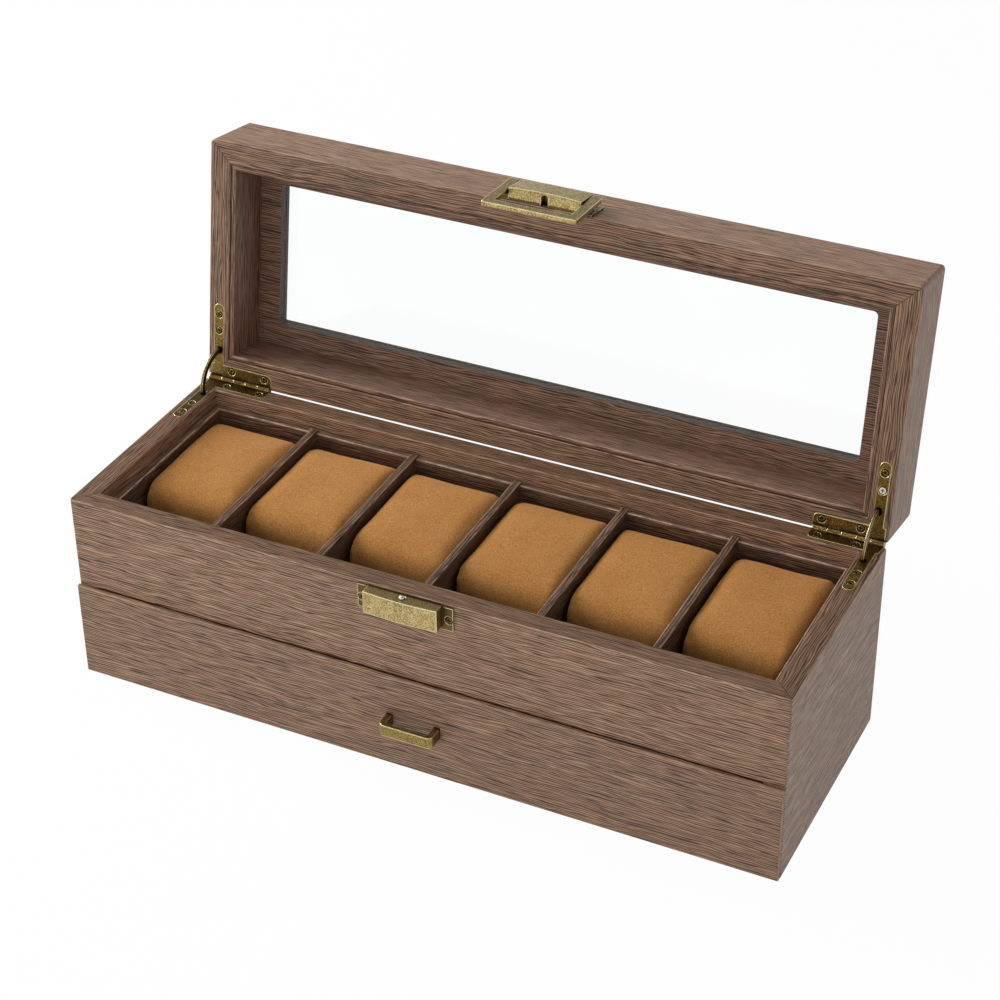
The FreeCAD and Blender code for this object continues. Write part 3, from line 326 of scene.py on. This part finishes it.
# Microfibre suede: a short brushed nap that scatters light at grazing angles, with soft blotches where
# it was stroked and a fine mottle of single fibres.
NAP_BLOTCH = (11.0, 14.0, 11.0)
NAP_MOTTLE = (2.0, 2.0, 2.0)
NAP_FIBRE = (0.5, 0.5, 0.5)
BLOTCH_LEVELS = (0.36, 0.64)
MOTTLE_SHARES = (0.4, 0.7, 0.0, 0.3)
DARK_FIBRE_SHARES = (0.5, 0.62, 0.0, 0.55)
LIGHT_FIBRE_SHARES = (0.5, 0.36, 0.0, 0.6)
MOTTLE_HEIGHT = 1.5
NAP_STRENGTH = 0.4
SUEDE_SOCKETS = {
    "Roughness": 0.92,
    "Specular IOR Level": 0.2,
    "Sheen Weight": 0.35,
    "Sheen Roughness": 0.45,
    "Sheen Tint": colour("F0C28C"),
}
CUSHION_TONES = {"deep": "B0773D", "light": "B67F45", "stroked": "CB9558", "fibre": "8A5626"}
LINING_TONES = {"deep": "85582D", "light": "956537", "stroked": "A17443", "fibre": "6F4520"}
CUSHION_NAP = 0.2 * MM
LINING_NAP = 0.12 * MM


def suede(name, tones, nap_height):
    material, tree = new_material(name)
    place = closed_place(tree, False)
    blotch = stretched_noise(tree, place, NAP_BLOTCH)
    mottle = stretched_noise(tree, place, NAP_MOTTLE, 3.0, 0.6)
    fibre = stretched_noise(tree, place, NAP_FIBRE, 2.0, 0.7)
    tone = blended(tree, ramped(tree, blotch, *BLOTCH_LEVELS), colour(tones["deep"]), colour(tones["light"]))
    tone = blended(tree, ramped(tree, mottle, *MOTTLE_SHARES), tone, colour(tones["stroked"]))
    tone = blended(tree, ramped(tree, fibre, *DARK_FIBRE_SHARES), tone, colour(tones["fibre"]))
    tone = blended(tree, ramped(tree, fibre, *LIGHT_FIBRE_SHARES), tone, colour(tones["stroked"]))
    height = reckoned(tree, "ADD", fibre, reckoned(tree, "MULTIPLY", mottle, MOTTLE_HEIGHT))
    relief = put(tree, "Bump", {"Height": height, "Strength": NAP_STRENGTH, "Distance": nap_height})
    sockets = {"Base Color": tone, "Normal": relief.outputs["Normal"]}
    return finished(material, put(tree, "BsdfPrincipled", sockets | SUEDE_SOCKETS).outputs["BSDF"])


# Metals

# Antique brass: die-cast zinc plated with brass, darkened, then brushed back. The patina stays in a
# fine speckle and in every recess, and the rubbed edges are bright, partly wear and partly a painted
# highlight. The hinges were brushed back less than the latch and catch, the screws and the stays hardly
# at all; the darker tones of the hinges and the stays are partly painted shade, for they sit in shade.
LATCH_TONES = {"base": "B39C66", "light": "C8B27C", "patina": "53441F", "bright": "E2D09A", "edge": "FBEEC0"}
PULL_TONES = {"base": "8C7744", "light": "9E8852", "patina": "3A2D12", "bright": "C2AC70", "edge": "F6E8B6"}
# Partly patina and partly painted shade: darker than the latch, as the hinges sit in shade.
HINGE_PATINA_AND_SHADE_TONES = {"base": "73592D", "light": "846A3A", "patina": "261C0B", "bright": "B89C5C", "edge": "EAD69A"}
SCREW_TONES = {"base": "5C4A29", "light": "6B5832", "patina": "120D05", "bright": "86714A", "edge": "7C6840"}
# Partly patina and partly painted shade: the stays sit in the lid's shade.
STAY_PATINA_AND_SHADE_TONES = {"base": "58472A", "light": "6A5734", "patina": "241A0B", "bright": "8E784A", "edge": "DCC998"}
BRASS_SPECKLE = (0.45, 0.45, 0.45)
BRASS_CLOUD = (4.0, 4.0, 4.0)
CLOUD_LEVELS = (0.35, 0.65)
PATINA_SPOTS = (0.5, 0.6, 0.0, 0.8)
BRIGHT_SPOTS = (0.46, 0.36, 0.0, 0.75)
BEVEL_SAMPLES = 6
BRASS_EDGE = 0.7 * MM
EDGE_LEVELS = (0.99, 0.94)
EDGE_OPENNESS = (0.8, 0.95)
EDGE_SHARE = 0.95
RECESS_REACH = 2.2 * MM
RECESS_SAMPLES = 8
RECESS_PATINA = (0.95, 0.6, 0.0, 0.95)
BRASS_GLOSS = (0.35, 0.65, 0.28, 0.48)
BRASS_RELIEF = {"Strength": 0.3, "Distance": 0.06 * MM}

# The thin ears of the catch and of the latch were left nearly as dark as the patina.
EAR_FRONT = CATCH_BACK - 1.3 * MM
EAR_DARK = "4A3A1E"
EAR_SHARE = 0.85

# One screw of the lid's right hinge is bright: satin nickel, with painted shade in its cross.
SCREW_PLACE = (154.9, 32.4, 88.8)
SCREW_REACH = 3.2 * MM
SCREW_WHITE = "F4F1E8"
CROSS_SHADE_LEVELS = (0.9, 0.6)
SCREW_SOCKETS = {"Metallic": 0.6, "Roughness": 0.45}


def antique_brass(name, tones, bright_screw=None, ears_in_lid=None):
    """Brass in these tones, with dark ears where it is said whether the block is in the lid."""
    material, tree = new_material(name)
    place = put(tree, "TexCoord").outputs["Object"]
    speckle = stretched_noise(tree, place, BRASS_SPECKLE, 3.0, 0.65)
    cloud = stretched_noise(tree, place, BRASS_CLOUD)
    softened = put(tree, "Bevel", {"Radius": BRASS_EDGE}, samples=BEVEL_SAMPLES).outputs["Normal"]
    facing = vectored(tree, "DOT_PRODUCT", softened, put(tree, "NewGeometry").outputs["Normal"], "Value")
    nearby = put(tree, "AmbientOcclusion", {"Distance": RECESS_REACH}, samples=RECESS_SAMPLES)
    openness = nearby.outputs["AO"]
    on_edge = ramped(tree, facing, *EDGE_LEVELS)
    wear_and_highlight = reckoned(tree, "MULTIPLY", on_edge, ramped(tree, openness, *EDGE_OPENNESS))
    tone = blended(tree, ramped(tree, cloud, *CLOUD_LEVELS), colour(tones["base"]), colour(tones["light"]))
    tone = blended(tree, ramped(tree, speckle, *PATINA_SPOTS), tone, colour(tones["patina"]))
    tone = blended(tree, ramped(tree, speckle, *BRIGHT_SPOTS), tone, colour(tones["bright"]))
    tone = blended(tree, ramped(tree, openness, *RECESS_PATINA), tone, colour(tones["patina"]))
    if ears_in_lid is not None:
        deep = part_of(tree, closed_place(tree, ears_in_lid), "Y")
        on_ear = reckoned(tree, "MULTIPLY", reckoned(tree, "GREATER_THAN", deep, EAR_FRONT), EAR_SHARE)
        tone = blended(tree, on_ear, tone, colour(EAR_DARK))
    # Bright edges: partly rubbed wear and partly a painted highlight.
    tone = blended(tree, reckoned(tree, "MULTIPLY", wear_and_highlight, EDGE_SHARE), tone, colour(tones["edge"]))
    relief = put(tree, "Bump", {"Height": speckle, "Normal": softened} | BRASS_RELIEF)
    sockets = {
        "Base Color": tone,
        "Metallic": 1.0,
        "Roughness": ramped(tree, speckle, *BRASS_GLOSS),
        "Normal": relief.outputs["Normal"],
    }
    shader = put(tree, "BsdfPrincipled", sockets).outputs["BSDF"]
    if bright_screw is not None:
        off_screw = vectored(tree, "DISTANCE", place, bright_screw, "Value")
        on_screw = reckoned(tree, "LESS_THAN", off_screw, SCREW_REACH)
        # Painted shade in the cross recess of the bright screw.
        cross_shade = ramped(tree, openness, *CROSS_SHADE_LEVELS)
        sockets = {"Base Color": blended(tree, cross_shade, colour(SCREW_WHITE), colour(tones["patina"]))}
        plated = put(tree, "BsdfPrincipled", sockets | SCREW_SOCKETS).outputs["BSDF"]
        shader = put(tree, "MixShader", {0: on_screw, 1: shader, 2: plated}).outputs["Shader"]
    return finished(material, shader)


# Bright nickel plate: smooth and white, with a slight haze and hardly any wear.
NICKEL_HAZE = (1.5, 1.5, 1.5)
NICKEL_DULL = "B9B7B0"
NICKEL_CLEAR = "DCDAD2"
NICKEL_EDGE = 0.2 * MM
HAZE_LEVELS = (0.3, 0.7)
NICKEL_GLOSS = (0.3, 0.7, 0.14, 0.26)


def bright_nickel(name):
    material, tree = new_material(name)
    place = put(tree, "TexCoord").outputs["Object"]
    haze = stretched_noise(tree, place, NICKEL_HAZE)
    clear = ramped(tree, haze, *HAZE_LEVELS)
    sockets = {
        "Base Color": blended(tree, clear, colour(NICKEL_DULL), colour(NICKEL_CLEAR)),
        "Metallic": 1.0,
        "Roughness": ramped(tree, haze, *NICKEL_GLOSS),
        "Normal": put(tree, "Bevel", {"Radius": NICKEL_EDGE}, samples=BEVEL_SAMPLES).outputs["Normal"],
    }
    return finished(material, put(tree, "BsdfPrincipled", sockets).outputs["BSDF"])


# Glass

# Thin float glass: clear and flat, with hardly any reflection and the faintest drift to green.
GLASS_DRIFT = (60.0, 60.0, 60.0)
GLASS_CLEAR = "FFFFFF"
GLASS_GREEN = "FBFFFD"
GLASS_SOCKETS = {"Roughness": 0.0, "IOR": 1.25, "Transmission Weight": 1.0}


def float_glass(name):
    material, tree = new_material(name)
    place = put(tree, "TexCoord").outputs["Object"]
    drift = stretched_noise(tree, place, GLASS_DRIFT, 1.0)
    sockets = {"Base Color": blended(tree, drift, colour(GLASS_CLEAR), colour(GLASS_GREEN))}
    return finished(material, put(tree, "BsdfPrincipled", sockets | GLASS_SOCKETS).outputs["BSDF"])


# Finishes on the frame's pieces


def dress(material, *names):
    """The piece's only material is this one."""
    for name in names:
        mesh = nodes[name].data
        mesh.materials.clear()
        mesh.materials.append(material)


BOARD_SHIFT = (0.411, 0.273, 0.157)


def board_shift(number):
    """Each board shows its own stretch of the grain."""
    return [number * step for step in BOARD_SHIFT]


def ring(stem, wrap):
    """The four boards of a mitred ring, each with the grain along it."""
    sides = {"front": ALONG_X, "back": ALONG_X, "left": ALONG_Y, "right": ALONG_Y}
    return [(f"{stem}_{side}", along, wrap) for side, along in sides.items()]


RIM_EDGE = (ALONG_Z, RIM_HEIGHT - FOLD_IN)
LID_RIM_EDGE = (ALONG_Z, LID_RIM_HEIGHT + FOLD_IN)
FACE_EDGE = (ALONG_Y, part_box("drawer_face_panel")[0].y + FOLD_IN)
LINER_EDGE = (ALONG_Z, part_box("tray_liner_left")[1].z - FOLD_IN)
DIVIDER_EDGE = (ALONG_Z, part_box("divider_1")[1].z - FOLD_IN)
LID_LINER_EDGE = (ALONG_Z, LID_RIM_HEIGHT + 2.0 * FOLD_IN)
CASE_WRAP = {"tones": CASE_TONES, "mitred": True, "edge": RIM_EDGE}
FACE_WRAP = {"tones": DRAWER_TONES, "edge": FACE_EDGE}
HIDDEN_WRAP = {"tones": SHADED_LINER_TONES}
LINER_WRAP = {"tones": SHADED_LINER_TONES, "edge": LINER_EDGE}
DIVIDER_WRAP = {"tones": SHADED_LINER_TONES, "edge": DIVIDER_EDGE}
LID_WRAP = {"tones": CASE_TONES, "in_lid": True, "mitred": True, "edge": LID_RIM_EDGE}
TOP_WRAP = {"tones": CASE_TONES, "in_lid": True, "shaded_cut": True}
INNER_WRAP = {"tones": SHADED_INNER_TONES, "in_lid": True, "shaded_cut": True}
LID_LINER_WRAP = {"tones": SHADED_INNER_TONES, "in_lid": True, "edge": LID_LINER_EDGE}
STRIP_WRAP = {"tones": SHADED_LINER_TONES, "in_lid": True}
BOARDS = [
    ("case_front_board", ALONG_X, CASE_WRAP),
    ("case_back_board", ALONG_X, CASE_WRAP),
    ("case_side_left", ALONG_Y, CASE_WRAP),
    ("case_side_right", ALONG_Y, CASE_WRAP),
    ("drawer_face_panel", ALONG_X, FACE_WRAP),
    ("case_bottom_panel", ALONG_X, HIDDEN_WRAP),
    ("case_mid_shelf", ALONG_X, HIDDEN_WRAP),
    ("drawer_box_front", ALONG_X, HIDDEN_WRAP),
    ("drawer_back", ALONG_X, HIDDEN_WRAP),
    ("drawer_side_left", ALONG_Y, HIDDEN_WRAP),
    ("drawer_side_right", ALONG_Y, HIDDEN_WRAP),
    ("drawer_bottom", ALONG_X, HIDDEN_WRAP),
    *ring("tray_liner", LINER_WRAP),
    *[(f"divider_{number}", ALONG_Y, DIVIDER_WRAP) for number in range(1, DIVIDERS + 1)],
    *ring("lid_wall", LID_WRAP),
    ("lid_top_panel", ALONG_X, TOP_WRAP),
    ("lid_inner_frame", ALONG_X, INNER_WRAP),
    *ring("lid_liner", LID_LINER_WRAP),
    ("lid_back_strip", ALONG_X, STRIP_WRAP),
]
for board_number, (board, board_along, board_wrap) in enumerate(BOARDS):
    dress(leatherette(f"leatherette_{board}", board_along, board_shift(board_number), **board_wrap), board)

cushion_suede = suede("cushion_suede", CUSHION_TONES, CUSHION_NAP)
dress(suede("lining_suede", LINING_TONES, LINING_NAP), "tray_floor_lining", "drawer_lining")


def opened(place):
    """A place in millimetres on the shut lid, carried to where the open lid holds it."""
    return LID_AXIS + Matrix.Rotation(-LID_OPENING, 3, "X") @ (Vector(place) * MM - LID_AXIS)


dress(antique_brass("catch_brass", LATCH_TONES, ears_in_lid=False), "catch_block")
dress(antique_brass("latch_brass", LATCH_TONES, ears_in_lid=True), "latch_block")
dress(antique_brass("bail_brass", LATCH_TONES), "latch_bail", "bail_pins")
shaded_hinge_brass = antique_brass("shaded_hinge_brass", HINGE_PATINA_AND_SHADE_TONES)
dress(shaded_hinge_brass, "case_hinge_leaf_left", "case_hinge_leaf_right", "hinge_pins")
dress(shaded_hinge_brass, "lid_hinge_leaf_left", "lid_hinge_leaf_right")
screw_brass = antique_brass("screw_brass", SCREW_TONES)
dress(screw_brass, "case_hinge_screws", "catch_screws", "latch_screws", "drawer_pull_screws")
dress(antique_brass("screw_brass_with_a_bright_one", SCREW_TONES, opened(SCREW_PLACE)), "lid_hinge_screws")
dress(antique_brass("shaded_stay_brass", STAY_PATINA_AND_SHADE_TONES), "stay_arm_left", "stay_arm_right")
dress(antique_brass("pull_brass", PULL_TONES), "drawer_pull")
dress(bright_nickel("nickel_plate"), "catch_pin")
dress(float_glass("float_glass"), "lid_glass")


# Cushions

CUSHION_VOXEL = 3.0 * MM
CUSHION_SHRUNK = 0.7 * MM
CUSHION_PRESSURE = 4.0
CUSHION_QUALITY = 6
CUSHION_MASS = 0.3
CUSHION_STEPS = 20
CUSHION_SWELL = 1.6 * MM
EDGE_ROUND = 12.0 * MM
EDGE_SEGMENTS = 8
END_ROUND = 1.8 * MM
END_SEGMENTS = 3
NEARLY = 0.01 * MM
DENT = 0.45 * MM
DENT_SIZE = 19.0 * MM
DENT_SHIFT = (7.3, 3.1, 5.7)
SMOOTHING = 2


def rounded(shape, edges, radius, segments):
    bmesh.ops.bevel(
        shape, geom=edges, offset=radius, segments=segments, profile=0.5, affect="EDGES", material=-1
    )


def run_across(edge):
    """How far an edge runs from side to side."""
    return abs(edge.verts[0].co.x - edge.verts[1].co.x)


def cushion_block(low, high):
    """A rounded block: wide curves at its front and back, tight ones round its two ends."""
    shape = bmesh.new()
    bmesh.ops.create_cube(shape, size=1.0)
    bmesh.ops.scale(shape, vec=high - low, verts=shape.verts)
    bmesh.ops.translate(shape, vec=(low + high) / 2, verts=shape.verts)
    lengthwise = [edge for edge in shape.edges if run_across(edge) > CUSHION_VOXEL]
    rounded(shape, lengthwise, EDGE_ROUND, EDGE_SEGMENTS)
    ends = [edge for edge in shape.edges if run_across(edge) < NEARLY]
    rounded(shape, ends, END_ROUND, END_SEGMENTS)
    return shape


def swollen(piece):
    """Swells a padded piece like stuffed cloth, each point no further than the cap."""
    resting = [vertex.co.copy() for vertex in piece.data.vertices]
    cloth = piece.modifiers.new("cloth", "CLOTH")
    cloth.settings.use_pressure = True
    cloth.settings.uniform_pressure_force = CUSHION_PRESSURE
    cloth.settings.effector_weights.gravity = 0.0
    cloth.settings.quality = CUSHION_QUALITY
    cloth.settings.mass = CUSHION_MASS
    cloth.collision_settings.use_collision = False
    scene = bpy.context.scene
    for step in range(1, CUSHION_STEPS + 1):
        scene.frame_set(step)
    depsgraph = bpy.context.evaluated_depsgraph_get()
    puffed = piece.evaluated_get(depsgraph)
    moved = [vertex.co.copy() for vertex in puffed.data.vertices]
    piece.modifiers.remove(cloth)
    scene.frame_set(1)
    for vertex, start, end in zip(piece.data.vertices, resting, moved):
        step = end - start
        if step.length > CUSHION_SWELL:
            step *= CUSHION_SWELL / step.length
        vertex.co = start + step


def filling(piece, low, high):
    """Brings the piece to fill the room between two corners."""
    corners = [vertex.co for vertex in piece.data.vertices]
    starts = [min(corner[axis] for corner in corners) for axis in range(3)]
    ends = [max(corner[axis] for corner in corners) for axis in range(3)]
    for vertex in piece.data.vertices:
        vertex.co = [
            bottom + (part - start) / (end - start) * (top - bottom)
            for part, start, end, bottom, top in zip(vertex.co, starts, ends, low, high)
        ]


def dented(piece, seed):
    """Shallow uneven hollows, as stuffing leaves under the cloth."""
    normals = [vertex.normal.copy() for vertex in piece.data.vertices]
    shift = Vector([seed * step for step in DENT_SHIFT])
    for vertex, normal in zip(piece.data.vertices, normals):
        vertex.co += normal * (noise.noise(vertex.co / DENT_SIZE + shift) * DENT)


def applied(piece, kind, **settings):
    """Applies one modifier to the piece's mesh."""
    modifier = piece.modifiers.new("step", kind)
    for name, value in settings.items():
        setattr(modifier, name, value)
    bpy.context.view_layer.update()
    depsgraph = bpy.context.evaluated_depsgraph_get()
    made = bpy.data.meshes.new_from_object(piece.evaluated_get(depsgraph))
    piece.modifiers.remove(modifier)
    piece.data = made


def make_cushion(number):
    node = f"cushion_{number}"
    name = f"suede_cushion_{number}"
    low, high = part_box(node)
    inset = Vector((CUSHION_SHRUNK,) * 3)
    shape = cushion_block(low + inset, high - inset)
    mesh = bpy.data.meshes.new(name)
    shape.to_mesh(mesh)
    shape.free()
    piece = bpy.data.objects.new(name, mesh)
    bpy.context.scene.collection.objects.link(piece)
    applied(piece, "REMESH", mode="VOXEL", voxel_size=CUSHION_VOXEL, use_smooth_shade=True)
    swollen(piece)
    dented(piece, number)
    applied(piece, "SUBSURF", levels=SMOOTHING, render_levels=SMOOTHING)
    filling(piece, low, high)
    piece.data.shade_smooth()
    piece.data.materials.clear()
    piece.data.materials.append(cushion_suede)
    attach(piece, f"watch_cushion_{number}")
    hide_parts(node)


for cushion_number in range(1, CUSHIONS + 1):
    make_cushion(cushion_number)


# Floor, backdrop and lamps

# The floor is white paper that glows white to the eye and keeps a little of the box's shadow. The sky
# is white to the eye and through glass, and gives mirrors a white wall with a dimmer ceiling over it.
FLOOR_HALF = 6.0
FLOOR_PAPER = "F2F2F2"
FLOOR_SHARE = 0.97
SKY_STRENGTH = 0.15
WALL_LEVELS = (0.45, 0.15)
BOX_MIDDLE = (0.0, 0.0, 0.08)
LAMP_SIZE = 0.9
LAMPS = {
    "overhead_box": ((-0.1, 0.0, 1.5), 5.0),
    "left_box": ((-1.6, 0.0, 0.9), 30.0),
    "front_left_box": ((-1.0, -1.3, 0.8), 2.5),
    "front_box": ((0.0, -1.7, 0.6), 5.0),
    "right_box": ((1.6, -0.3, 0.6), 2.0),
}


def seen_by(tree, path, *rays):
    """1 for a ray of one of these kinds and 0 for any other."""
    seen = path.outputs[rays[0]]
    for ray in rays[1:]:
        seen = reckoned(tree, "ADD", seen, path.outputs[ray])
    return reckoned(tree, "MINIMUM", seen, 1.0)


def make_floor():
    shape = bmesh.new()
    bmesh.ops.create_grid(shape, x_segments=1, y_segments=1, size=FLOOR_HALF)
    mesh = bpy.data.meshes.new("floor")
    shape.to_mesh(mesh)
    shape.free()
    floor = bpy.data.objects.new("floor", mesh)
    bpy.context.scene.collection.objects.link(floor)
    material, tree = new_material("white_paper")
    paper = put(tree, "BsdfDiffuse", {"Color": colour(FLOOR_PAPER)}).outputs["BSDF"]
    glow = put(tree, "Emission", {"Color": colour("FFFFFF"), "Strength": 1.0}).outputs["Emission"]
    path = put(tree, "LightPath")
    seen = seen_by(tree, path, "Is Camera Ray", "Is Glossy Ray", "Is Transmission Ray")
    share = reckoned(tree, "MULTIPLY", seen, FLOOR_SHARE)
    finished(material, put(tree, "MixShader", {0: share, 1: paper, 2: glow}).outputs["Shader"])
    mesh.materials.append(material)


def make_world():
    world = bpy.data.worlds.new("studio")
    bpy.context.scene.world = world
    world.use_nodes = True
    tree = world.node_tree
    tree.nodes.clear()
    soft = put(tree, "Background", {"Color": colour("FFFFFF"), "Strength": SKY_STRENGTH})
    white = put(tree, "Background", {"Color": colour("FFFFFF"), "Strength": 1.0})
    path = put(tree, "LightPath")
    wall = ramped(tree, part_of(tree, put(tree, "TexCoord").outputs["Generated"], "Z"), *WALL_LEVELS)
    mirrored = reckoned(tree, "MULTIPLY", path.outputs["Is Glossy Ray"], wall)
    seen = reckoned(tree, "MAXIMUM", seen_by(tree, path, "Is Camera Ray", "Is Transmission Ray"), mirrored)
    sockets = {0: seen, 1: soft.outputs["Background"], 2: white.outputs["Background"]}
    put(tree, "OutputWorld", {"Surface": put(tree, "MixShader", sockets).outputs["Shader"]})


def make_lamp(name, place, power):
    """A square soft box that faces the middle of the box."""
    lamp = bpy.data.lights.new(name, "AREA")
    lamp.shape = "SQUARE"
    lamp.size = LAMP_SIZE
    lamp.energy = power
    holder = bpy.data.objects.new(name, lamp)
    bpy.context.scene.collection.objects.link(holder)
    holder.location = place
    holder.rotation_euler = (Vector(BOX_MIDDLE) - Vector(place)).to_track_quat("-Z", "Y").to_euler()


make_floor()
make_world()
for lamp_name, (lamp_place, lamp_power) in LAMPS.items():
    make_lamp(lamp_name, lamp_place, lamp_power)


# Camera

CAMERA_PLACE = Vector((378.68, -744.56, 650.58)) * MM
CAMERA_AZIMUTH = math.radians(26.143)
CAMERA_ELEVATION = math.radians(33.431)
CAMERA_ROLL = math.radians(-0.619)
FOCAL_PIXELS = 2449.95
FRAME_PIXELS = 1000
SENSOR = 36.0
CLIP_NEAR = 0.05
CLIP_FAR = 30.0


def make_camera():
    azimuth, elevation = CAMERA_AZIMUTH, CAMERA_ELEVATION
    ahead = Vector((
        -math.sin(azimuth) * math.cos(elevation),
        math.cos(azimuth) * math.cos(elevation),
        -math.sin(elevation),
    ))
    right = Vector((math.cos(azimuth), math.sin(azimuth), 0.0))
    up = right.cross(ahead)
    turned_right = right * math.cos(CAMERA_ROLL) + up * math.sin(CAMERA_ROLL)
    turned_up = up * math.cos(CAMERA_ROLL) - right * math.sin(CAMERA_ROLL)
    lens = bpy.data.cameras.new("camera")
    lens.sensor_width = SENSOR
    lens.lens = FOCAL_PIXELS / FRAME_PIXELS * SENSOR
    lens.clip_start = CLIP_NEAR
    lens.clip_end = CLIP_FAR
    camera = bpy.data.objects.new("camera", lens)
    bpy.context.scene.collection.objects.link(camera)
    turn = Matrix((turned_right, turned_up, -ahead)).transposed().to_4x4()
    camera.matrix_world = Matrix.Translation(CAMERA_PLACE) @ turn
    bpy.context.scene.camera = camera


make_camera()
bpy.context.scene.view_settings.view_transform = "Standard"
